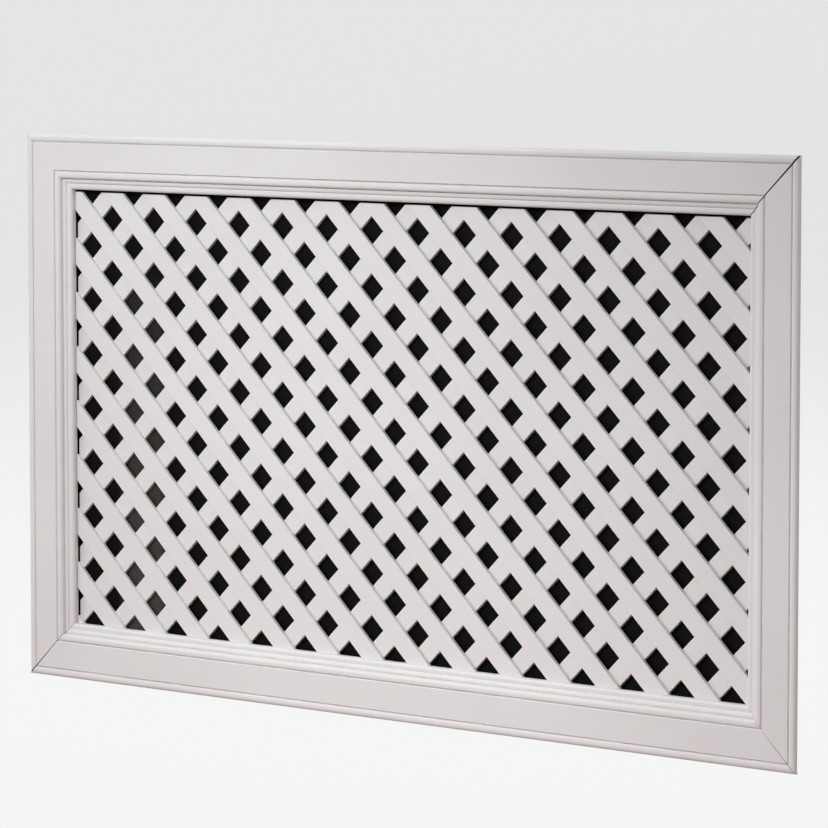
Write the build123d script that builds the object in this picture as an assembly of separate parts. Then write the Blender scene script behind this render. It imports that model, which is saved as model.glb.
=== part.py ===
from build123d import *
import math
import os

# Framed lattice screen for a radiator. Lengths are in millimetres.
# X runs to the right, Y runs from the room towards the radiator, Z runs up.
# The origin is midway between the two hanging hooks, on the saddles that take the weight.

# Overall size of the screen
frame_width = 1000.0
frame_height = 600.0

# Moulded rail. Widths run inwards from the outer edge, heights run forwards from the rail's back face.
rail_width = 60.4
rail_depth = 21.4
nosing_radius = 2.8          # half-round outer edge of the flange
flange_lap = 12.0            # flange that laps over the edge of a recess
quirk_width = 1.2            # V-shaped quirks on both sides of the flat band
quirk_depth = 2.0
rim_width = 7.9              # outer edge to first quirk
rim_fall = 0.5               # the rim slopes down to the level of the band
band_width = 30.4
ovolo_width = 7.7
ovolo_fall = 4.1
ovolo_shoulder = 0.2         # the ovolo starts this far under the band
hollow_width = 0.8           # dark hollow between ovolo and bead
hollow_depth = 1.2           # under the top of the bead
bead_width = 4.1
bead_fall = 1.7
bead_quirk_width = 0.6
bead_quirk_depth = 0.6
lip_thickness = 3.0          # at the sight edge
rebate_width = 10.4          # for the backing tray, behind the lip

# Mitres stand open at the outer corner and close towards the opening, measured square to the joint
mitre_gap_top_left = 0.10
mitre_gap_top_right = 1.30
mitre_gap_bottom_left = 1.10
mitre_gap_bottom_right = 0.40

# Loose splines in the mitres
spline_width = 18.0          # across the joint
spline_thickness = 3.0
spline_height = 7.0          # rails' back face to the middle of the spline
spline_margin = 3.0          # wood left between the slots and the sides of the rails
spline_clearance = 0.05

# Lattice: two layers of laths, crossing square at 45 degrees
lath_width = 20.5
lath_thickness = 4.0
lath_places = 24             # evenly spaced from corner to corner
corner_showing = 4.05        # of the outermost laths, measured square to them
shortest_offcut = 8.0        # a corner piece with a shorter long edge is left out
lath_arris = 0.4             # eased long edges
lattice_seat = 0.1           # laths stand this far above the bottom rail's lip
lattice_top_gap = 2.6
lattice_side_gap = 0.6
lattice_rise = 1.2           # the pattern's middle over the middle of the frame

# Backing tray of thin black sheet steel, folded forwards all round
sheet_thickness = 1.0
fold_radius = 0.6            # inside the folds
tray_clearance = 0.5         # to the rebate's wall
tray_seat = 0.2              # to the back of the lip
tray_setback = 0.2           # from the rail's back face
tray_notch = 2.2             # cut out of each corner before folding
lattice_proud = 1.5          # the lattice's front stands this far in front of the lip's back

# Pan-head wood screws
screw_radius = 1.7
screw_length = 14.0
screw_tip = 2.0
head_radius = 3.4
head_height = 2.0
head_rim = 0.7               # straight rim under the head's dome
recess_width = 0.9
recess_length = 4.0
recess_depth = 1.1
screw_clearance = 0.05       # round each shank, in wood and in plates
pilot_runout = 0.5           # the pilot hole goes this much deeper than the tip

# Turn buttons that hold the tray
button_length = 36.0
button_width = 12.0
button_thickness = 2.5
button_edge = 0.4
button_tail = 10.0           # pivot to the short end
button_setback = 15.0        # pivot to the rebate
button_spacing = 440.0       # between the two buttons of one rail
button_clearance = 0.3       # under and over the button

# Hanging hooks
hook_width = 25.0
hook_thickness = 2.5
hook_bend = 2.0              # inside radius
hook_throat = 25.0
hook_lip_height = 24.0
hook_margin = 2.0            # from the flange to the top of the plate and from its end to the rebate
hook_spacing = 660.0
hook_hole_upper = 12.0       # from the top of the plate
hook_hole_lower = 7.0        # from its end

# Derived levels and lines
lattice_front = tray_setback + sheet_thickness + 2 * lath_thickness
lip_back = lattice_front - lattice_proud
lip_front = lip_back + lip_thickness
band_height = rail_depth - rim_fall
flange_back = rail_depth - 2 * nosing_radius
rebate_line = rail_width - rebate_width
sight_width = frame_width - 2 * rail_width
sight_height = frame_height - 2 * rail_width
tray_line = rebate_line + tray_clearance
button_line = rebate_line - button_setback
hook_line = flange_lap + hook_margin
hook_end = rebate_line - hook_margin

# Left or right and bottom or top, for each corner of the frame
corner_signs = [(-1, -1), (-1, 1), (1, -1), (1, 1)]

# The row frame seen from the frame's own centre, on the rails' back face
to_row = Pos(0, -(hook_thickness + hook_throat / 2), hook_line + hook_thickness - frame_height / 2)


def quarter_round(start, foot, width, fall):
    """An arc that leaves its start nearly level and comes down steeply to its foot."""
    middle = (start + width * math.sqrt(0.5), foot + fall * math.sqrt(0.5))
    return ThreePointArc((start, foot + fall), middle, (start + width, foot))


def rail_profile():
    """Cross-section of the moulding: X is the distance from the outer edge, Y the height over the back."""
    quirk_1 = rim_width + quirk_width
    quirk_2 = quirk_1 + band_width + quirk_width
    ovolo_end = quirk_2 + ovolo_width
    hollow_end = ovolo_end + hollow_width
    bead_end = hollow_end + bead_width
    last_quirk = bead_end + bead_quirk_width
    shoulder = band_height - ovolo_shoulder
    bead_top = shoulder - ovolo_fall
    bead_foot = bead_top - bead_fall
    edges = [
        ThreePointArc((nosing_radius, flange_back), (0, flange_back + nosing_radius),
                      (nosing_radius, rail_depth)),
        ThreePointArc((nosing_radius, rail_depth),
                      ((nosing_radius + rim_width) / 2, rail_depth - rim_fall / 4),
                      (rim_width, band_height)),
        Polyline((rim_width, band_height), (rim_width + quirk_width / 2, band_height - quirk_depth),
                 (quirk_1, band_height), (quirk_1 + band_width, band_height),
                 (quirk_2 - quirk_width / 2, band_height - quirk_depth), (quirk_2, shoulder)),
        quarter_round(quirk_2, bead_top, ovolo_width, ovolo_fall),
        Polyline((ovolo_end, bead_top), (ovolo_end + hollow_width / 2, bead_top - hollow_depth),
                 (hollow_end, bead_top)),
        quarter_round(hollow_end, bead_foot, bead_width, bead_fall),
        Polyline((bead_end, bead_foot), (bead_end + bead_quirk_width / 2, bead_foot - bead_quirk_depth),
                 (last_quirk, bead_foot)),
        quarter_round(last_quirk, lip_front, rail_width - last_quirk, bead_foot - lip_front),
        Polyline((rail_width, lip_front), (rail_width, lip_back), (rebate_line, lip_back), (rebate_line, 0),
                 (flange_lap, 0), (flange_lap, flange_back), (nosing_radius, flange_back)),
    ]
    return make_face(edges)


def mitred_rail(length, gap_left, gap_right):
    """One rail along X with its outer edge up, centred on the frame's side, mitred at both ends."""
    # On the profile's plane X points down, which is inwards, and Y points forwards
    section = Plane(origin=(length / 2, 0, 0), x_dir=(0, 0, -1), z_dir=(-1, 0, 0))
    bar = extrude(section * rail_profile(), amount=length)
    left = -length / 2 + gap_left / math.sqrt(2)
    right = length / 2 - gap_right / math.sqrt(2)
    sight = length / 2 - rail_width
    outline = Polyline((left, 0), (right, 0), (sight, -rail_width), (-sight, -rail_width), close=True)
    wedge = extrude(Plane.XZ * make_face(outline), amount=rail_depth)
    return bar & wedge


def placed_rails():
    """The four rails round the frame's centre."""
    up = frame_height / 2
    out = frame_width / 2
    return {
        "top_rail": Pos(0, 0, up) * mitred_rail(frame_width, mitre_gap_top_left, mitre_gap_top_right),
        "bottom_rail": Pos(0, 0, -up) * Rot(0, 180, 0)
        * mitred_rail(frame_width, mitre_gap_bottom_right, mitre_gap_bottom_left),
        "left_rail": Pos(-out, 0, 0) * Rot(0, -90, 0)
        * mitred_rail(frame_height, mitre_gap_bottom_left, mitre_gap_top_left),
        "right_rail": Pos(out, 0, 0) * Rot(0, 90, 0)
        * mitred_rail(frame_height, mitre_gap_top_right, mitre_gap_bottom_right),
    }


def lattice_outline():
    """Width, height and centre height of the rectangle that the lattice is trimmed to."""
    width = sight_width - 2 * lattice_side_gap
    height = sight_height - lattice_seat - lattice_top_gap
    return width, height, (lattice_seat - lattice_top_gap) / 2


def lath_layer(name, front_height, lean):
    """One layer of laths, numbered from the bottom corner. Lean is +1 for laths that run up to the right."""
    width, height, centre = lattice_outline()
    middle = front_height - lath_thickness / 2
    trim = Pos(0, -middle, centre) * Box(width, 2 * lath_thickness, height)
    reach = (width + height) / math.sqrt(8)
    last = (lath_places - 1) / 2
    pitch = (reach + lath_width / 2 - corner_showing) / last
    blank = Box(math.hypot(width, height), lath_thickness, lath_width)
    blank = chamfer(blank.edges().filter_by(Axis.X), lath_arris)
    laths = {}
    for place in range(lath_places):
        offset = (place - last) * pitch
        # Distance to the corner that the laths on this side run out to
        corner = reach + math.copysign(1, offset) * (centre - lattice_rise) / math.sqrt(2)
        long_edge = 2 * (corner - abs(offset) + lath_width / 2)
        if long_edge < shortest_offcut:
            continue
        lath = Pos(0, -middle, lattice_rise) * Rot(0, -45 * lean, 0) * Pos(0, 0, offset) * blank
        laths[f"{name}_{place + 1:02d}"] = lath & trim
    return laths


def backing_tray():
    """Folded sheet behind the lattice, a shallow pan that opens forwards."""
    outer_width = frame_width - 2 * tray_line
    outer_height = frame_height - 2 * tray_line
    depth = lip_back - tray_seat - tray_setback
    outer = Box(outer_width, depth, outer_height)
    outer = fillet(outer.faces().sort_by(Axis.Y)[-1].edges(), fold_radius + sheet_thickness)
    inner = Box(outer_width - 2 * sheet_thickness, depth, outer_height - 2 * sheet_thickness)
    inner = fillet(inner.faces().sort_by(Axis.Y)[-1].edges(), fold_radius)
    pan = outer - Pos(0, -sheet_thickness, 0) * inner
    for x, z in corner_signs:
        pan -= Pos(x * outer_width / 2, 0, z * outer_height / 2) * Box(2 * tray_notch, depth, 2 * tray_notch)
    return Pos(0, -tray_setback - depth / 2, 0) * pan


def screw():
    """Pan-head screw with its head's seat at Y = 0, pointing forwards."""
    dome = head_height - head_rim
    dome_radius = (head_radius ** 2 + dome ** 2) / (2 * dome)
    half_turn = math.asin(head_radius / dome_radius) / 2
    dome_middle = (dome_radius * math.sin(half_turn), head_height - dome_radius * (1 - math.cos(half_turn)))
    profile = make_face([
        Polyline((0, -screw_length), (screw_radius, -screw_length + screw_tip), (screw_radius, 0),
                 (head_radius, 0), (head_radius, head_rim)),
        ThreePointArc((head_radius, head_rim), dome_middle, (0, head_height)),
        Line((0, head_height), (0, -screw_length)),
    ])
    body = revolve(profile, Axis.Y)
    for turn in (0, 90):
        slot = Box(recess_length, 2 * recess_depth, recess_width)
        body -= Pos(0, head_height, 0) * Rot(0, turn, 0) * slot
    return body


def shank_hole(depth):
    """Clearance for a shank: from the back face to the given depth."""
    return Pos(0, -depth / 2, 0) * Rot(90, 0, 0) * Cylinder(screw_radius + screw_clearance, depth)


def hook_spots():
    """Screw places of the two hooks."""
    return [(x * hook_spacing / 2, frame_height / 2 - inset)
            for x in (-1, 1) for inset in (hook_line + hook_hole_upper, hook_end - hook_hole_lower)]


def button_spots():
    """Pivot places of the turn buttons: name, X, Z and the direction towards the opening."""
    level = frame_height / 2 - button_line
    return [(f"{row}_{side}_turn_button", x * button_spacing / 2, z * level, -z)
            for row, z in (("top", 1), ("bottom", -1)) for side, x in (("left", -1), ("right", 1))]


def hanging_hooks():
    """Bent strips that hang over the top of the radiator, both in one group."""
    top = frame_height / 2 - hook_line
    middle = hook_thickness / 2
    far = hook_thickness + hook_throat + middle
    path = FilletPolyline((middle, hook_line - hook_end), (middle, -middle), (far, -middle),
                          (far, -hook_lip_height), radius=hook_bend + middle)
    outline = trace(path, hook_thickness)
    strip = extrude(Plane(origin=(-hook_width / 2, 0, 0), x_dir=(0, 1, 0), z_dir=(1, 0, 0)) * outline,
                    amount=hook_width)
    hooks = []
    for x in (-1, 1):
        hook = Pos(x * hook_spacing / 2, 0, top) * strip
        for spot_x, spot_z in hook_spots():
            hook -= Pos(spot_x, hook_thickness, spot_z) * shank_hole(hook_thickness)
        hooks.append(hook)
    return hooks


def turn_button(x, z, inward):
    """Flat button with round ends, its long end over the tray."""
    middle = button_length / 2 - button_tail
    outline = Plane.XZ * SlotOverall(button_length, button_width, rotation=90)
    plate = extrude(outline, amount=-button_thickness)
    plate = chamfer(plate.faces().sort_by(Axis.Y)[-1].edges(), button_edge)
    plate = Pos(0, 0, inward * middle) * plate
    plate -= Pos(0, button_thickness, 0) * shank_hole(button_thickness)
    return Pos(x, button_clearance, z) * plate


def screw_seats():
    """Every screw: X, Z and the height of its seat behind the rails."""
    button_seat = button_thickness + 2 * button_clearance
    seats = [(x, z, hook_thickness) for x, z in hook_spots()]
    return seats + [(x, z, button_seat) for _, x, z, _ in button_spots()]


def mitre_splines(clearance=0.0):
    """Thin flat keys across the mitres, or their slots if there is a clearance."""
    middle = (flange_lap + rebate_line) / 2
    length = math.sqrt(2) * (rebate_line - flange_lap - 2 * spline_margin) - spline_width
    spline = Box(length + 2 * clearance, spline_thickness + 2 * clearance, spline_width + 2 * clearance)
    return [Pos(x * (frame_width / 2 - middle), -spline_height, z * (frame_height / 2 - middle))
            * Rot(0, -45 * x * z, 0) * spline for x, z in corner_signs]


def machined_rails():
    """The rails with the slots for the splines and the pilot holes for the screws."""
    rails = placed_rails()
    for name in rails:
        for slot in mitre_splines(spline_clearance):
            rails[name] -= slot
    for x, z, seat in screw_seats():
        name = "top_rail" if z > 0 else "bottom_rail"
        rails[name] -= Pos(x, 0, z) * shank_hole(screw_length - seat + pilot_runout)
    return rails


nodes = machined_rails()
nodes["mitre_splines"] = Compound(children=mitre_splines())
nodes.update(lath_layer("front_lath", lattice_front, -1))
nodes.update(lath_layer("back_lath", lattice_front - lath_thickness, 1))
nodes["backing_tray"] = backing_tray()
nodes["hanging_hooks"] = Compound(children=hanging_hooks())
nodes["wood_screws"] = Compound(children=[Pos(x, seat, z) * screw() for x, z, seat in screw_seats()])
for name, x, z, inward in button_spots():
    nodes[name] = turn_button(x, z, inward)

os.makedirs("parts", exist_ok=True)
for name, shape in nodes.items():
    export_step(to_row * shape, f"parts/{name}.step")
print(len(nodes), "nodes")
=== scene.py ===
import bpy
import bmesh
import math
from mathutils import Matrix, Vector


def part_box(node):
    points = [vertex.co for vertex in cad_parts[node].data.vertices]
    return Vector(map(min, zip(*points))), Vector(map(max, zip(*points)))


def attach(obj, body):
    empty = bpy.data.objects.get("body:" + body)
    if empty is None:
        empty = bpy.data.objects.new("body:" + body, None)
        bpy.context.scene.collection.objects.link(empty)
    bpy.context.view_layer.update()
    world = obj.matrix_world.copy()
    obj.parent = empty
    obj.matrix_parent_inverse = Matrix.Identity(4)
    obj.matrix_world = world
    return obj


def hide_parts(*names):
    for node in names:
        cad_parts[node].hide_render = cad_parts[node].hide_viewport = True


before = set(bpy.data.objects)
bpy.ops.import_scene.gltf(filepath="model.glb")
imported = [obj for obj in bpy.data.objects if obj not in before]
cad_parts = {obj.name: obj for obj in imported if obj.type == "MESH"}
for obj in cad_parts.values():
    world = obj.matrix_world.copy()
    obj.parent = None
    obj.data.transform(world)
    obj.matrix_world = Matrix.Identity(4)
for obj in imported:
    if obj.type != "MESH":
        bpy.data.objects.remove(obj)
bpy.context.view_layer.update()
screenBody = "screen"

bench = {
    "softStep": 35,         # degrees, steps up to this are shaded soft
    "flatWeight": 100,      # how much the large flat faces hold the shading flat
    "alongShare": 0.999,    # cosine from which an edge runs along X
}


def freeHands():
    # back to object mode with nothing selected
    if bpy.context.object and bpy.context.object.mode != "OBJECT":
        bpy.ops.object.mode_set(mode="OBJECT")
    bpy.ops.object.select_all(action="DESELECT")


def nameIt(name):
    piece = bpy.context.object
    piece.name = name
    piece.data.name = name
    return piece


def makeActive(piece):
    freeHands()
    piece.select_set(True)
    bpy.context.view_layer.objects.active = piece


def settle(piece):
    # object to the origin, its place into the mesh
    makeActive(piece)
    bpy.ops.object.transform_apply(location=True, rotation=True, scale=True)


def pick(piece, kind, wanted):
    # edit mode, edges or faces chosen by a test
    makeActive(piece)
    bpy.ops.object.mode_set(mode="EDIT")
    bpy.ops.mesh.select_mode(type=kind)
    bpy.ops.mesh.select_all(action="DESELECT")
    mesh = bmesh.from_edit_mesh(piece.data)
    for part in mesh.edges if kind == "EDGE" else mesh.faces:
        part.select = wanted(part)
    mesh.select_flush_mode()
    bmesh.update_edit_mesh(piece.data)


def turnOf(edge):
    # angle between the two faces of an edge, in degrees
    return math.degrees(edge.calc_face_angle(0.0)) if len(edge.link_faces) == 2 else 0.0


def runsAlongX(edge):
    run = edge.verts[1].co - edge.verts[0].co
    return abs(run.normalized().x) > bench["alongShare"]


def smoothPiece(piece):
    # soft across the small steps, flat faces stay flat
    makeActive(piece)
    bpy.ops.object.shade_smooth_by_angle(angle=math.radians(bench["softStep"]))
    weigh = piece.modifiers.new("weigh", "WEIGHTED_NORMAL")
    weigh.keep_sharp = True
    weigh.weight = bench["flatWeight"]
    bpy.ops.object.modifier_apply(modifier="weigh")


def dress(piece, material):
    piece.data.materials.clear()
    piece.data.materials.append(material)


def newGroup(name, inputs, outputs):
    group = bpy.data.node_groups.new(name, "ShaderNodeTree")
    for label, kind, value in inputs:
        socket = group.interface.new_socket(name=label, in_out="INPUT", socket_type=kind)
        if value is not None:
            socket.default_value = value
    for label, kind in outputs:
        group.interface.new_socket(name=label, in_out="OUTPUT", socket_type=kind)
    return group, group.nodes.new("NodeGroupInput"), group.nodes.new("NodeGroupOutput")


def placeGroup(tree, group, vector, values):
    # a group in a material, with the material's own values
    node = tree.nodes.new("ShaderNodeGroup")
    node.node_tree = group
    tree.links.new(vector, node.inputs["Vector"])
    for label, value in values.items():
        node.inputs[label].default_value = value
    return node


def mathNode(tree, operation, first, second=None):
    node = tree.nodes.new("ShaderNodeMath")
    node.operation = operation
    for place, value in enumerate((first, second)):
        if value is None:
            continue
        if isinstance(value, (int, float)):
            node.inputs[place].default_value = value
        else:
            tree.links.new(value, node.inputs[place])
    return node.outputs[0]


def vectorNode(tree, operation, first, second):
    node = tree.nodes.new("ShaderNodeVectorMath")
    node.operation = operation
    for place, value in enumerate((first, second)):
        if isinstance(value, tuple):
            node.inputs[place].default_value = value
        else:
            tree.links.new(value, node.inputs[place])
    return node.outputs[0]


def axesOf(tree, vector):
    node = tree.nodes.new("ShaderNodeSeparateXYZ")
    tree.links.new(vector, node.inputs[0])
    return node.outputs


def noiseNode(tree, vector, scale, detail, roughness):
    node = tree.nodes.new("ShaderNodeTexNoise")
    node.inputs["Scale"].default_value = scale
    node.inputs["Detail"].default_value = detail
    node.inputs["Roughness"].default_value = roughness
    tree.links.new(vector, node.inputs["Vector"])
    return node.outputs["Fac"]


def spread(tree, value, low, high, toLow, toHigh):
    node = tree.nodes.new("ShaderNodeMapRange")
    tree.links.new(value, node.inputs["Value"])
    for label, number in (("From Min", low), ("From Max", high), ("To Min", toLow), ("To Max", toHigh)):
        node.inputs[label].default_value = number
    return node.outputs["Result"]


def blendColours(tree, factor, first, second):
    node = tree.nodes.new("ShaderNodeMix")
    node.data_type = "RGBA"
    tree.links.new(factor, node.inputs["Factor"])
    for socket, value in ((node.inputs["A"], first), (node.inputs["B"], second)):
        if isinstance(value, tuple):
            socket.default_value = value
        else:
            tree.links.new(value, socket)
    return node.outputs["Result"]


def startMaterial(name):
    material = bpy.data.materials.new(name)
    material.use_nodes = True
    tree = material.node_tree
    place = tree.nodes.new("ShaderNodeTexCoord")
    return material, tree, tree.nodes["Principled BSDF"], place.outputs["Object"]


def addBump(tree, shader, height, distance):
    bump = tree.nodes.new("ShaderNodeBump")
    bump.inputs["Strength"].default_value = 1.0
    bump.inputs["Distance"].default_value = distance
    tree.links.new(height, bump.inputs["Height"])
    tree.links.new(bump.outputs["Normal"], shader.inputs["Normal"])


# noises are given as scale, detail and roughness, spreads as from low, from high, to low, to high
paint = {
    "white": (0.77, 0.765, 0.76, 1), "shade": (0.74, 0.732, 0.726, 1),
    "strokes": (420.0, 3.0, 0.6), "stipple": (900.0, 2.0, 0.55), "cloud": (6.0, 3.0, 0.55),
    "strokeLength": 0.03,       # the share of X that the strokes keep
    "clouded": (0.35, 0.65, 0.0, 1.0), "gloss": (0.6, 1.4, 0.46, 0.6),
    "strokeHeight": 0.6, "stippleHeight": 0.4, "bump": 0.00002,
    "coat": 0.03, "coatRoughness": 0.3,
}


def makeBrushGroup():
    # paint laid on along the wood: long faint strokes, roller stipple and a cloudy tint
    group, into, out = newGroup("BrushedPaint", [
        ("Vector", "NodeSocketVector", None),
        ("Paint", "NodeSocketColor", paint["white"]),
        ("Shade", "NodeSocketColor", paint["shade"]),
        ("Stroke Length", "NodeSocketFloat", paint["strokeLength"]),
    ], [("Colour", "NodeSocketColor"), ("Roughness", "NodeSocketFloat"), ("Height", "NodeSocketFloat")])
    wire = group.links.new
    # squeeze X so that the strokes are long along it
    stretch = group.nodes.new("ShaderNodeCombineXYZ")
    wire(into.outputs["Stroke Length"], stretch.inputs["X"])
    stretch.inputs["Y"].default_value = stretch.inputs["Z"].default_value = 1.0
    squeezed = vectorNode(group, "MULTIPLY", into.outputs["Vector"], stretch.outputs[0])
    strokes = noiseNode(group, squeezed, *paint["strokes"])
    stipple = noiseNode(group, into.outputs["Vector"], *paint["stipple"])
    cloud = noiseNode(group, into.outputs["Vector"], *paint["cloud"])
    tint = spread(group, cloud, *paint["clouded"])
    wire(blendColours(group, tint, into.outputs["Paint"], into.outputs["Shade"]), out.inputs["Colour"])
    wire(spread(group, mathNode(group, "ADD", strokes, cloud), *paint["gloss"]), out.inputs["Roughness"])
    ridges = mathNode(group, "MULTIPLY", strokes, paint["strokeHeight"])
    dimples = mathNode(group, "MULTIPLY", stipple, paint["stippleHeight"])
    wire(mathNode(group, "ADD", ridges, dimples), out.inputs["Height"])
    return group


brushGroup = makeBrushGroup()


def makePaint(name, lean):
    # lean turns the strokes in the screen's plane, in degrees from +X
    material, tree, shader, place = startMaterial(name)
    turn = tree.nodes.new("ShaderNodeMapping")
    turn.inputs["Rotation"].default_value = (0, math.radians(lean), 0)
    tree.links.new(place, turn.inputs["Vector"])
    coat = placeGroup(tree, brushGroup, turn.outputs["Vector"], {
        "Paint": paint["white"], "Shade": paint["shade"], "Stroke Length": paint["strokeLength"]})
    tree.links.new(coat.outputs["Colour"], shader.inputs["Base Color"])
    tree.links.new(coat.outputs["Roughness"], shader.inputs["Roughness"])
    addBump(tree, shader, coat.outputs["Height"], paint["bump"])
    shader.inputs["Coat Weight"].default_value = paint["coat"]
    shader.inputs["Coat Roughness"].default_value = paint["coatRoughness"]
    return material


levelPaint = makePaint("WhitePaintLevel", 0)
uprightPaint = makePaint("WhitePaintUpright", 90)
fallingPaint = makePaint("WhitePaintFalling", -45)
risingPaint = makePaint("WhitePaintRising", 45)


blackSheet = {
    # the holes' colour is painted shade for the dark seen through them
    "powder": (0.0065, 0.0065, 0.0065, 1), "holeShade": (0.003, 0.003, 0.003, 1),
    "backPowder": (0.022, 0.022, 0.023, 1),     # the side turned to the radiator is coated less black
    "facesBack": 0.5,                           # Y of a normal from which a face is on that side
    "paintedSheen": (0.084, 0.077, 0.070, 1),           # painted sheen: an upright lighter streak behind the lattice's left part
    "streakMiddle": -0.3480, "streakCore": 0.020, "streakEdge": 0.038,
    "streakTop": -0.13, "streakFull": -0.16, "streakFoot": -0.53,
    "sheenStrength": (1.0, 0.32),                   # of the painted sheen, at the streak's foot and where it starts
    "grain": (1500.0, 2.0, 0.5), "gloss": (0.3, 0.7, 0.5, 0.66), "grainHeight": 0.15, "bump": 0.0001,
    "specular": 0.04,
    "pitch": 0.002, "radius": 0.0005,
}


def makePitGroup():
    # round perforation in a staggered grid on the XZ plane
    group, into, out = newGroup("PunchedHoles", [
        ("Vector", "NodeSocketVector", None),
        ("Pitch", "NodeSocketFloat", blackSheet["pitch"]),
        ("Radius", "NodeSocketFloat", blackSheet["radius"]),
    ], [("Mask", "NodeSocketFloat")])
    place = axesOf(group, into.outputs["Vector"])
    rows = []
    for shift in (0.0, 0.5):
        squares = []
        for label, rowStep in (("X", 1.0), ("Z", math.sqrt(3))):
            steps = mathNode(group, "DIVIDE", place[label], into.outputs["Pitch"])
            steps = mathNode(group, "ADD", mathNode(group, "DIVIDE", steps, rowStep), shift)
            middle = mathNode(group, "SUBTRACT", mathNode(group, "FRACT", steps), 0.5)
            away = mathNode(group, "ABSOLUTE", mathNode(group, "MULTIPLY", middle, rowStep))
            squares.append(mathNode(group, "POWER", away, 2.0))
        distance = mathNode(group, "SQRT", mathNode(group, "ADD", *squares))
        rows.append(mathNode(group, "MULTIPLY", distance, into.outputs["Pitch"]))
    nearest = mathNode(group, "MINIMUM", *rows)
    group.links.new(mathNode(group, "LESS_THAN", nearest, into.outputs["Radius"]), out.inputs["Mask"])
    return group


pitGroup = makePitGroup()


def paintedSheenStreak(tree, place):
    # painted sheen in a streak that starts under the top and grows stronger downwards
    b = blackSheet
    spot = axesOf(tree, place)
    away = mathNode(tree, "ABSOLUTE", mathNode(tree, "SUBTRACT", spot["X"], b["streakMiddle"]))
    streak = spread(tree, away, b["streakCore"], b["streakEdge"], 1.0, 0.0)
    start = spread(tree, spot["Z"], b["streakFull"], b["streakTop"], 1.0, 0.0)
    thick = spread(tree, spot["Z"], b["streakFoot"], b["streakFull"], *b["sheenStrength"])
    return mathNode(tree, "MULTIPLY", mathNode(tree, "MULTIPLY", streak, start), thick)


def makeBlackSheet():
    b = blackSheet
    material, tree, shader, place = startMaterial("BlackPunchedSheet")
    holes = placeGroup(tree, pitGroup, place, {"Pitch": b["pitch"], "Radius": b["radius"]}).outputs["Mask"]
    grain = noiseNode(tree, place, *b["grain"])
    facing = tree.nodes.new("ShaderNodeNewGeometry")
    turnedBack = mathNode(tree, "GREATER_THAN", axesOf(tree, facing.outputs["Normal"])["Y"], b["facesBack"])
    # painted sheen: a lighter upright streak on the sheet's front
    front = blendColours(tree, paintedSheenStreak(tree, place), b["powder"], b["paintedSheen"])
    powder = blendColours(tree, turnedBack, front, b["backPowder"])
    # the holes take a darker colour, painted shade for their depth
    tree.links.new(blendColours(tree, holes, powder, b["holeShade"]), shader.inputs["Base Color"])
    tree.links.new(spread(tree, grain, *b["gloss"]), shader.inputs["Roughness"])
    height = mathNode(tree, "SUBTRACT", mathNode(tree, "MULTIPLY", grain, b["grainHeight"]), holes)
    addBump(tree, shader, height, b["bump"])
    shader.inputs["Specular IOR Level"].default_value = b["specular"]
    return material


zinc = {
    "bright": (0.7, 0.71, 0.72, 1), "dull": (0.52, 0.54, 0.56, 1),
    "crystals": 700.0, "marks": (260.0, 4.0, 0.65), "marked": (0.4, 0.62, 0.0, 1.0),
    "gloss": (0.3, 0.7, 0.24, 0.42), "bump": 0.00003,
}


def makeMetalGroup():
    # zinc plate: fine crystals and a few rub marks
    group, into, out = newGroup("ZincPlate", [
        ("Vector", "NodeSocketVector", None),
        ("Bright", "NodeSocketColor", zinc["bright"]),
        ("Dull", "NodeSocketColor", zinc["dull"]),
    ], [("Colour", "NodeSocketColor"), ("Roughness", "NodeSocketFloat"), ("Height", "NodeSocketFloat")])
    wire = group.links.new
    cells = group.nodes.new("ShaderNodeTexVoronoi")
    cells.inputs["Scale"].default_value = zinc["crystals"]
    wire(into.outputs["Vector"], cells.inputs["Vector"])
    marks = noiseNode(group, into.outputs["Vector"], *zinc["marks"])
    rubbed = spread(group, marks, *zinc["marked"])
    wire(blendColours(group, rubbed, into.outputs["Bright"], into.outputs["Dull"]), out.inputs["Colour"])
    wire(spread(group, marks, *zinc["gloss"]), out.inputs["Roughness"])
    wire(mathNode(group, "ADD", cells.outputs["Distance"], marks), out.inputs["Height"])
    return group


metalGroup = makeMetalGroup()


def makeZinc():
    material, tree, shader, place = startMaterial("ZincPlatedSteel")
    plate = placeGroup(tree, metalGroup, place, {"Bright": zinc["bright"], "Dull": zinc["dull"]})
    tree.links.new(plate.outputs["Colour"], shader.inputs["Base Color"])
    tree.links.new(plate.outputs["Roughness"], shader.inputs["Roughness"])
    addBump(tree, shader, plate.outputs["Height"], zinc["bump"])
    shader.inputs["Metallic"].default_value = 1.0
    return material


wood = {
    "squeeze": (1.0, 12.0, 12.0),       # the grain is long along X
    "grain": (60.0, 4.0, 0.6), "grained": (0.35, 0.65, 0.0, 1.0), "roughness": 0.7, "bump": 0.0002,
    # light and dark of the grain
    "birch": ((0.62, 0.47, 0.30, 1), (0.50, 0.35, 0.20, 1)),
    # the sawn ends: dark wood that also paints the shade in the open mitres
    "mitreShade": ((0.10, 0.075, 0.06, 1), (0.05, 0.035, 0.03, 1)),
}


def makeWood(name, light, dark):
    material, tree, shader, place = startMaterial(name)
    squeeze = tree.nodes.new("ShaderNodeMapping")
    squeeze.inputs["Scale"].default_value = wood["squeeze"]
    tree.links.new(place, squeeze.inputs["Vector"])
    grain = noiseNode(tree, squeeze.outputs["Vector"], *wood["grain"])
    tree.links.new(blendColours(tree, spread(tree, grain, *wood["grained"]), light, dark),
                   shader.inputs["Base Color"])
    shader.inputs["Roughness"].default_value = wood["roughness"]
    addBump(tree, shader, grain, wood["bump"])
    return material


punchedSheet = makeBlackSheet()
zincSteel = makeZinc()
bareBirch = makeWood("BareBirch", *wood["birch"])
# dark cut wood, painted shade for the mitre gaps
cutWoodShade = makeWood("CutWoodPaintedShade", *wood["mitreShade"])
print("materials ready")


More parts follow.
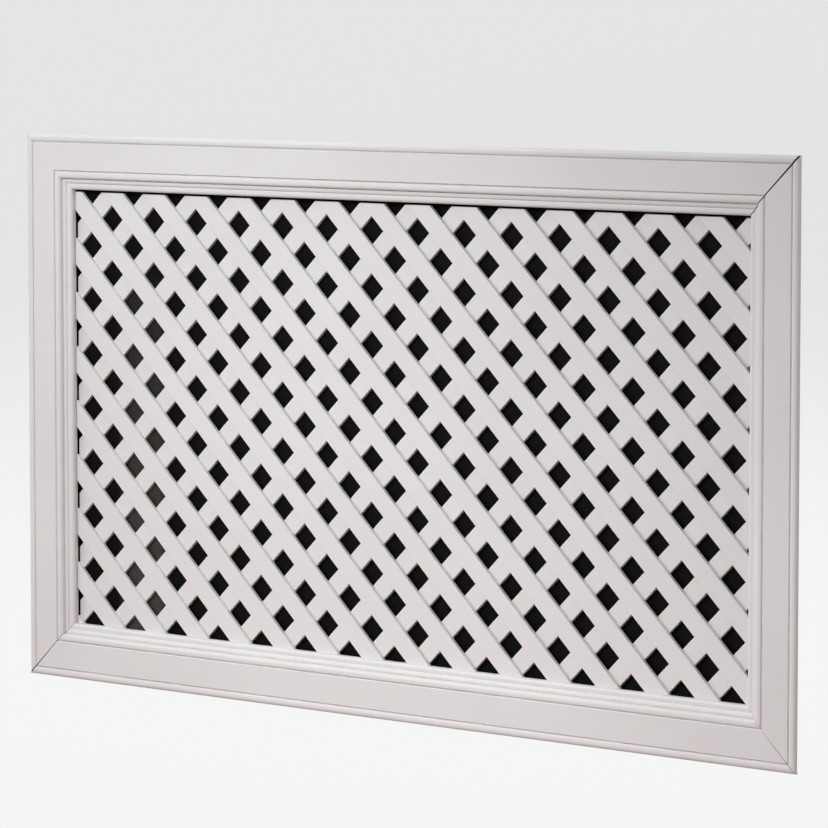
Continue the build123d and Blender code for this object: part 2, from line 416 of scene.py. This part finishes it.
# millimetres: across from the outer edge, height over the back face
moulding = {
    "frameWidth": 1000.0, "frameHeight": 600.0, "top": 16.5, "back": -15.0,
    "width": 60.4, "depth": 21.4, "nosing": 2.8, "lap": 12.0,
    "rimWidth": 7.9, "rimFall": 0.5, "quirk": 1.2, "quirkLips": 0.7, "quirkDepth": 2.0, "bandWidth": 30.4,
    "rimCrest": 4.2, "rimRoll": 0.9, "rimOver": 0.1,    # the rim rolls over from its crest into the groove
    "lipCurve": 1.7,    # how fast a groove's lips fall to its bottom
    "ovoloShoulder": 0.2, "ovoloWidth": 7.7, "ovoloFall": 4.1, "hollowWidth": 0.8, "hollowDepth": 0.9,
    "beadWidth": 4.1, "beadFall": 1.7, "beadQuirk": 0.6, "beadQuirkDepth": 0.15,
    "crest": 0.38, "swell": 0.3, "roundness": 2.6,  # where each round is highest, how far it swells up to there
    "lipFront": 10.7, "lipBack": 7.7, "rebate": 50.0,
    # facets of the curves
    "noseSteps": 6, "rimSteps": 8, "rollSteps": 6, "lipSteps": 5, "swellSteps": 4, "roundSteps": 10,
    "beadSteps": 8,
    # the long edges that turn by more degrees than this are eased
    "sharp": 40, "ease": 0.22, "easeSteps": 3,
    "endShare": 0.5,    # X of a normal from which a face is a sawn end
    # how far each mitre stands open, at the outer corner and at the sight edge
    "gaps": {"TopLeft": (0.04, 0.0), "TopRight": (1.9, 0.8), "BottomLeft": (1.3, 0.25), "BottomRight": (0.6, 0.1)},
}


def quarter(start, end, steps, flatFirst):
    # quarter of an ellipse between two points that lie on its axes
    points = []
    run = Vector(end) - Vector(start)
    for step in range(1, steps + 1):
        turn = math.pi / 2 * step / steps
        ahead, aside = math.sin(turn), 1 - math.cos(turn)
        shares = (ahead, aside) if flatFirst else (aside, ahead)
        points.append(Vector((start[0] + run.x * shares[0], start[1] + run.y * shares[1])))
    return points


def shoulderRound(start, end, steps, crest=0.0):
    # swells a little up to its crest, then runs over a rounded shoulder and steeply down
    power = moulding["roundness"]
    points = []
    top = Vector(start)
    if crest:
        points.append(Vector(start) - Vector((0, moulding["swell"])))
        top = Vector((start[0] + (end[0] - start[0]) * crest, start[1]))
        points += quarter(points[0], top, moulding["swellSteps"], False)
    for step in range(1, steps + 1):
        turn = math.pi / 2 * step / steps
        ahead = math.sin(turn) ** (2 / power)
        aside = 1 - math.cos(turn) ** (2 / power)
        points.append(Vector((top.x + (end[0] - top.x) * ahead, top.y + (end[1] - top.y) * aside)))
    return points


def quirkGroove(start, levelBefore, levelAfter):
    # a narrow groove whose lips are rounded over
    m = moulding
    points = []
    half = m["quirk"] / 2 + m["quirkLips"]
    for step in range(-m["lipSteps"], m["lipSteps"] + 1):
        side = step / m["lipSteps"]
        level = levelBefore if side < 0 else levelAfter
        fall = m["quirkDepth"] * (1 - abs(side)) ** m["lipCurve"]
        points.append(Vector((start + m["quirk"] / 2 + side * half, level - fall)))
    return points


def mouldingOutline():
    m = moulding
    band = m["depth"] - m["rimFall"]
    flange = m["depth"] - 2 * m["nosing"]
    quirkOne = m["rimWidth"] + m["quirk"]
    quirkTwo = quirkOne + m["bandWidth"] + m["quirk"]
    ovoloEnd = quirkTwo + m["ovoloWidth"]
    hollowEnd = ovoloEnd + m["hollowWidth"]
    beadEnd = hollowEnd + m["beadWidth"]
    lastQuirk = beadEnd + m["beadQuirk"]
    shoulder = band - m["ovoloShoulder"]
    beadTop = shoulder - m["ovoloFall"]
    beadFoot = beadTop - m["beadFall"]
    nose, crest = (0, flange + m["nosing"]), (m["rimCrest"], m["depth"])
    points = [Vector((m["lap"], 0)), Vector((m["lap"], flange)), Vector((m["nosing"], flange))]
    points += quarter((m["nosing"], flange), nose, m["noseSteps"], True)
    points += quarter(nose, crest, m["rimSteps"], False)
    # the rolled rim takes the place of the first groove's outer lip
    rolled = (m["rimWidth"] + m["rimOver"], m["depth"] - m["rimRoll"])
    points += quarter(crest, rolled, m["rollSteps"], True)[:-1]
    points += quirkGroove(m["rimWidth"], band, band)[3:]
    points += quirkGroove(quirkOne + m["bandWidth"], band, shoulder - m["swell"])
    # three rounds step down to the opening, a groove at each foot
    points += shoulderRound((quirkTwo + m["quirkLips"], shoulder), (ovoloEnd, beadTop), m["roundSteps"], m["crest"])[1:]
    points += [Vector(((ovoloEnd + hollowEnd) / 2, beadTop - m["hollowDepth"])), Vector((hollowEnd, beadTop))]
    points += shoulderRound((hollowEnd, beadTop), (beadEnd, beadFoot), m["beadSteps"])
    points += [Vector(((beadEnd + lastQuirk) / 2, beadFoot - m["beadQuirkDepth"]))]
    points += shoulderRound((lastQuirk, beadFoot), (m["width"], m["lipFront"]), m["roundSteps"], m["crest"])
    points += [Vector((m["width"], m["lipBack"])), Vector((m["rebate"], m["lipBack"])), Vector((m["rebate"], 0))]
    return points


def drawRail(name, length, gapLeft, gapRight, material):
    # a plane shrunk to one point, drawn out along the outline, filled and pulled to length
    m = moulding
    half = length / 2 / 1000
    spots = [Vector((-half, -height / 1000, -across / 1000)) for across, height in mouldingOutline()]
    freeHands()
    bpy.ops.mesh.primitive_plane_add(size=0.001, location=(0, 0, 0))
    rail = nameIt(name)
    bpy.ops.object.mode_set(mode="EDIT")
    bpy.ops.mesh.select_mode(type="VERT")
    bpy.ops.mesh.select_all(action="SELECT")
    bpy.ops.mesh.merge(type="CENTER")
    bpy.ops.transform.translate(value=spots[0])
    for here, there in zip(spots, spots[1:]):
        bpy.ops.mesh.extrude_vertices_move(TRANSFORM_OT_translate={"value": there - here})
    bpy.ops.mesh.select_all(action="SELECT")
    bpy.ops.mesh.edge_face_add()
    bpy.ops.mesh.extrude_region_move(TRANSFORM_OT_translate={"value": (2 * half, 0, 0)})
    bpy.ops.mesh.select_all(action="SELECT")
    bpy.ops.mesh.normals_make_consistent(inside=False)
    # ease the long sharp edges as paint does
    pick(rail, "EDGE", lambda edge: turnOf(edge) > m["sharp"] and runsAlongX(edge))
    bpy.ops.mesh.bevel(offset=m["ease"] / 1000, segments=m["easeSteps"], profile=0.5, affect="EDGES")
    # saw both mitres, more open at the outer corner than at the sight edge
    width = m["width"] / 1000
    for end, (outer, inner) in ((-1, gapLeft), (1, gapRight)):
        back, lean = inner / 1000 / math.sqrt(2), (outer - inner) / 1000 / math.sqrt(2)
        bpy.ops.mesh.select_all(action="SELECT")
        bpy.ops.mesh.bisect(plane_co=(end * (half - width - back), 0, -width),
                            plane_no=(end * width, 0, lean - width), use_fill=True, clear_outer=True)
    # the sawn ends stay unpainted, in a dark wood colour that also paints the shade in the open mitres
    rail.data.materials.append(material)
    rail.data.materials.append(cutWoodShade)
    pick(rail, "FACE", lambda face: abs(face.normal.x) > m["endShare"])
    rail.active_material_index = 1
    bpy.ops.object.material_slot_assign()
    bpy.ops.object.mode_set(mode="OBJECT")
    return rail


def buildRails():
    m = moulding
    gaps = m["gaps"]
    side, middle, foot = m["frameWidth"] / 2, m["top"] - m["frameHeight"] / 2, m["top"] - m["frameHeight"]
    # name, CAD node, length, gaps at its two ends, turn about Y, place of its outer edge, paint
    rails = [
        ("MouldingTop", "top_rail", m["frameWidth"], "TopLeft", "TopRight", 0, (0, m["top"]), levelPaint),
        ("MouldingBottom", "bottom_rail", m["frameWidth"], "BottomRight", "BottomLeft", 180, (0, foot), levelPaint),
        ("MouldingLeft", "left_rail", m["frameHeight"], "BottomLeft", "TopLeft", -90, (-side, middle), uprightPaint),
        ("MouldingRight", "right_rail", m["frameHeight"], "TopRight", "BottomRight", 90, (side, middle), uprightPaint),
    ]
    for name, node, length, gapLeft, gapRight, turn, (x, z), material in rails:
        rail = drawRail(name, length, gaps[gapLeft], gaps[gapRight], material)
        rail.rotation_euler = (0, math.radians(turn), 0)
        rail.location = (x / 1000, m["back"] / 1000, z / 1000)
        settle(rail)
        smoothPiece(rail)
        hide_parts(node)
        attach(rail, screenBody)


buildRails()
print("rails mitred")


# millimetres; the laths lie at 45 degrees on one pitch
lattice = {
    "lathWidth": 20.5, "lathThickness": 4.0, "places": 24,
    "showing": 4.05,    # how much of the outermost laths is left in the panel's corners
    "shortest": 8.0,    # a corner offcut shorter than this is left out
    "ease": 0.6, "easeSteps": 3,     # only the front arrises are rounded
    "front": -24.2,     # row Y of the front face
    "rise": 1.2,        # the pattern's middle over the frame's middle
}


def buildLattice():
    lap = lattice
    # the rectangle that the laths are trimmed to, read from the CAD laths
    lows, highs = zip(*(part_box(node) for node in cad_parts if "_lath_" in node))
    left, right = min(low.x for low in lows), max(high.x for high in highs)
    bottom, top = min(low.z for low in lows), max(high.z for high in highs)
    width, height = right - left, top - bottom
    screenMiddle = (moulding["top"] - moulding["frameHeight"] / 2) / 1000
    patternMiddle = screenMiddle + lap["rise"] / 1000
    shift = ((top + bottom) / 2 - patternMiddle) / math.sqrt(2)
    reach = (width + height) / math.sqrt(8)
    last = (lap["places"] - 1) / 2
    pitch = (reach + (lap["lathWidth"] / 2 - lap["showing"]) / 1000) / last
    thick, wide = lap["lathThickness"] / 1000, lap["lathWidth"] / 1000
    # one lath, planed and eased
    freeHands()
    bpy.ops.mesh.primitive_cube_add(size=1, scale=(math.hypot(width, height), thick, wide))
    pattern = nameIt("LathPattern")
    settle(pattern)
    pick(pattern, "EDGE", lambda edge: runsAlongX(edge) and edge.verts[0].co.y < 0)
    bpy.ops.mesh.bevel(offset=lap["ease"] / 1000, segments=lap["easeSteps"], profile=0.5, affect="EDGES")
    bpy.ops.object.mode_set(mode="OBJECT")
    # layer, depth of its middle in laths, which way it leans, paint
    for layer, depth, lean, material in (("Front", 0.5, -1, fallingPaint), ("Back", 1.5, 1, risingPaint)):
        y = lap["front"] / 1000 + thick * depth
        for place in range(lap["places"]):
            offset = (place - last) * pitch
            corner = reach + math.copysign(1, offset) * shift
            if 2 * (corner - abs(offset) + wide / 2) < lap["shortest"] / 1000:
                continue
            makeActive(pattern)
            bpy.ops.object.duplicate(linked=False)
            lath = nameIt(f"Lath{layer}{place + 1:02d}")
            # the place in the row before the turn is along the lath's own Z
            turn = math.radians(-45 * lean)
            lath.rotation_euler = (0, turn, 0)
            lath.location = (math.sin(turn) * offset, y, patternMiddle + math.cos(turn) * offset)
            settle(lath)
            # trimmed flush with the panel's four sides
            bpy.ops.object.mode_set(mode="EDIT")
            for spot, side in (((left, 0, 0), (-1, 0, 0)), ((right, 0, 0), (1, 0, 0)),
                               ((0, 0, bottom), (0, 0, -1)), ((0, 0, top), (0, 0, 1))):
                bpy.ops.mesh.select_all(action="SELECT")
                bpy.ops.mesh.bisect(plane_co=spot, plane_no=side, use_fill=True, clear_outer=True)
            bpy.ops.object.mode_set(mode="OBJECT")
            smoothPiece(lath)
            dress(lath, material)
            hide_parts(f"{layer.lower()}_lath_{place + 1:02d}")
            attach(lath, screenBody)
    bpy.data.objects.remove(pattern)


buildLattice()
print("lattice laid")


# the hardware keeps its CAD shape
dress(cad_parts["backing_tray"], punchedSheet)
dress(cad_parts["mitre_splines"], bareBirch)
for node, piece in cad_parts.items():
    if node in ("hanging_hooks", "wood_screws") or node.endswith("_turn_button"):
        dress(piece, zincSteel)
print("hardware dressed")


studio = {
    "floorLevel": -1.6, "floorSize": 4000.0, "floorRoughness": 0.9, "floorSpecular": 0.1,
    "floorColour": (0.88, 0.92, 0.91, 1),       # as the camera sees it
    "floorGlow": 0.25,
    "floorBounce": (0.255, 0.24, 0.235, 1),     # what it throws back on the screen
    "pale": (0.80, 0.80, 0.80, 1),              # the tent as the camera sees it
    "sides": (1.41, 1.34, 1.36), "ahead": (0.72, 0.685, 0.695), "above": (0.14, 0.13, 0.13),
    "lean": (-0.08, 0.0, 0.0),                  # its left side glows more than its right
}


def layFloor():
    freeHands()
    bpy.ops.mesh.primitive_plane_add(size=studio["floorSize"], location=(0, 0, studio["floorLevel"]))
    floor = nameIt("StudioFloor")
    settle(floor)
    material, tree, shader = startMaterial("PaleFloor")[:3]
    seen = tree.nodes.new("ShaderNodeLightPath").outputs["Is Camera Ray"]
    tree.links.new(blendColours(tree, seen, studio["floorBounce"], studio["floorColour"]),
                   shader.inputs["Base Color"])
    shader.inputs["Emission Color"].default_value = studio["floorColour"]
    tree.links.new(mathNode(tree, "MULTIPLY", seen, studio["floorGlow"]), shader.inputs["Emission Strength"])
    shader.inputs["Roughness"].default_value = studio["floorRoughness"]
    shader.inputs["Specular IOR Level"].default_value = studio["floorSpecular"]
    dress(floor, material)


def pitchTent():
    # a tent round the screen: bright at both sides, dimmer in front and behind, dimmest overhead
    world = bpy.data.worlds.new("SoftTent")
    bpy.context.scene.world = world
    world.use_nodes = True
    tent = world.node_tree
    heading = tent.nodes.new("ShaderNodeTexCoord").outputs["Generated"]
    leaning = vectorNode(tent, "ADD", heading, studio["lean"])
    shares = axesOf(tent, vectorNode(tent, "MULTIPLY", leaning, leaning))
    walls = []
    for axis, label in (("X", "sides"), ("Y", "ahead"), ("Z", "above")):
        wall = tent.nodes.new("ShaderNodeVectorMath")
        wall.operation = "SCALE"
        wall.inputs[0].default_value = studio[label]
        tent.links.new(shares[axis], wall.inputs["Scale"])
        walls.append(wall.outputs[0])
    glow = vectorNode(tent, "ADD", vectorNode(tent, "ADD", walls[0], walls[1]), walls[2])
    seen = tent.nodes.new("ShaderNodeLightPath").outputs["Is Camera Ray"]
    tent.links.new(blendColours(tent, seen, glow, studio["pale"]), tent.nodes["Background"].inputs["Color"])


layFloor()
pitchTent()


# a far lamp from the upper left and a near one from above, both fading towards the frame's corners
keys = [
    {"name": "FarKey", "place": (-2.3, -2.2, 0.82), "aim": (1.0, 0.0, -0.95),
     "reach": 1.36, "radius": 0.2, "power": 188.0, "colour": (0.95, 1.0, 1.0)},
    {"name": "NearKey", "place": (-0.4, -1.3, 0.57), "aim": (-0.5, 0.0, -0.49),
     "reach": 1.85, "radius": 0.15, "power": 40.0, "colour": (0.95, 1.0, 1.0)},
]

# a weak warm softbox under the front, and a wide one over the floor behind the screen
softboxes = [
    {"name": "LowFill", "place": (-0.1, -0.8, -1.4), "aim": (-0.1, 0.0, -0.6),
     "size": (2.4, 0.6), "power": 2.2, "colour": (1.0, 0.35, 0.30)},
    {"name": "OverheadSoftbox", "place": (-4.0, 5.6, 7.4), "aim": (-4.0, 5.6, 0.0),
     "size": (8.0, 8.0), "power": 172.0, "colour": (1.0, 1.0, 1.0)},
]


def throwOf(lamp):
    return Vector(lamp["aim"]) - Vector(lamp["place"])


def hangLamp(kind, lamp):
    freeHands()
    bpy.ops.object.light_add(type=kind, location=lamp["place"])
    hung = bpy.context.object
    hung.name = lamp["name"]
    hung.rotation_euler = throwOf(lamp).to_track_quat("-Z", "Y").to_euler()
    hung.data.energy = lamp["power"]
    hung.data.color = lamp["colour"]
    return hung.data


for key in keys:
    light = hangLamp("SPOT", key)
    light.shadow_soft_size = key["radius"]
    light.spot_blend = 1.0      # the cone fades from its middle to its edge
    light.spot_size = 2 * math.atan(key["reach"] / throwOf(key).length)

for softbox in softboxes:
    light = hangLamp("AREA", softbox)
    light.shape = "RECTANGLE"
    light.size, light.size_y = softbox["size"]

camera = {
    "place": (2.6269, -3.4449, 0.1763), "yaw": 37.235, "pitch": -4.696,
    "lens": 181.79, "sensor": 36.0, "shift": -0.1, "near": 0.1, "far": 5000.0,
}
freeHands()
bpy.ops.object.camera_add(location=camera["place"],
                          rotation=(math.radians(90 + camera["pitch"]), 0, math.radians(camera["yaw"])))
eye = bpy.context.object
eye.name = "PhotoCamera"
eye.data.lens = camera["lens"]
eye.data.sensor_width = camera["sensor"]
eye.data.shift_y = camera["shift"]
eye.data.clip_start = camera["near"]
eye.data.clip_end = camera["far"]
bpy.context.scene.camera = eye
bpy.context.scene.view_settings.view_transform = "Standard"
print("studio set")
